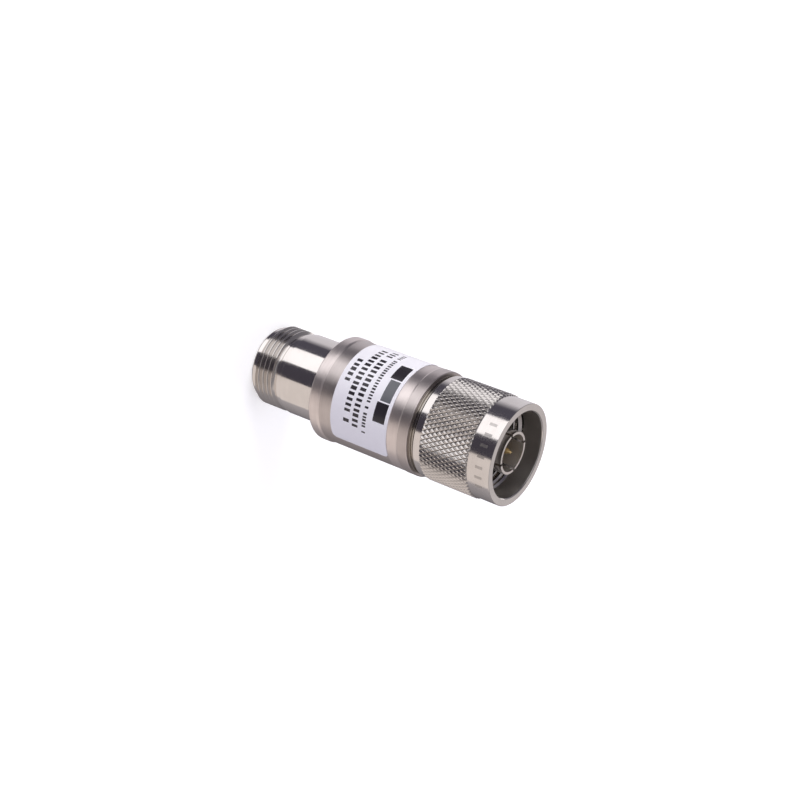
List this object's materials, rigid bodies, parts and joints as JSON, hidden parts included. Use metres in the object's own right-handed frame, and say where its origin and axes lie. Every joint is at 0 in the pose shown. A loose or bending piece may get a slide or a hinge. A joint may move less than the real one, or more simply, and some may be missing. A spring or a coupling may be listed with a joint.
{
  "type": "coaxial attenuator",
  "caption": "Coaxial in-line attenuator for radio signals: a turned metal tube with a threaded jack at one end and a pin plug with a knurled coupling nut at the other.",
  "frame": {"origin": "centre of the jack's face, on the axis, at the bottom", "axes": "+Z runs along the axis from the jack to the coupling nut; the label is read from -Y; +X is across the attenuator card's width"},
  "size_m": [0.0203, 0.0202, 0.0557],
  "materials": {
    "bright_nickel": "turned brass under bright nickel plate",
    "satin_nickel": "turned and passivated, satin, warm grey",
    "contact_nickel": "white bronze plate, smooth, a little darker inside",
    "gold_plate": "gold plate on turned brass, smooth",
    "white_plastic": "turned white fluoropolymer",
    "label_film": "white printed film, semi-matt",
    "alumina": "fired ceramic, matt white",
    "resistor_print": "thick-film resistor print, matt black",
    "silver_print": "fired silver print, satin",
    "clamp_metal": "machined aluminium, satin",
    "spring_steel": "stamped spring steel, smooth",
    "gasket_rubber": "moulded silicone rubber, matt"
  },
  "bodies": {
    "body": {"jack_body": "bright_nickel", "jack_insulator": "white_plastic", "jack_retaining_sleeve": "bright_nickel", "jack_center_contact": "gold_plate", "housing": "satin_nickel", "rating_label": "label_film", "attenuator_card": "alumina", "resistor_film": "resistor_print", "card_electrodes": "silver_print", "card_clamp_front": "clamp_metal", "card_clamp_back": "clamp_metal", "spring_washer": "spring_steel", "flange_washer": "bright_nickel", "plug_body": "bright_nickel", "plug_insulator": "white_plastic", "plug_outer_contact": "contact_nickel", "plug_center_pin": "gold_plate", "mating_gasket": "gasket_rubber"},
    "ring": {"snap_ring": "spring_steel"},
    "nut": {"coupling_nut": "bright_nickel"}
  },
  "joints": [
    {"name": "nut_float", "type": "slide", "parent": "body", "child": "ring", "axis": [0, 0, 1], "range_m": [0, 0.0003]},
    {"name": "nut_spin", "type": "hinge", "parent": "ring", "child": "nut", "pos_m": [0, 0, 0.0423], "axis": [0, 0, 1], "continuous": true}
  ]
}
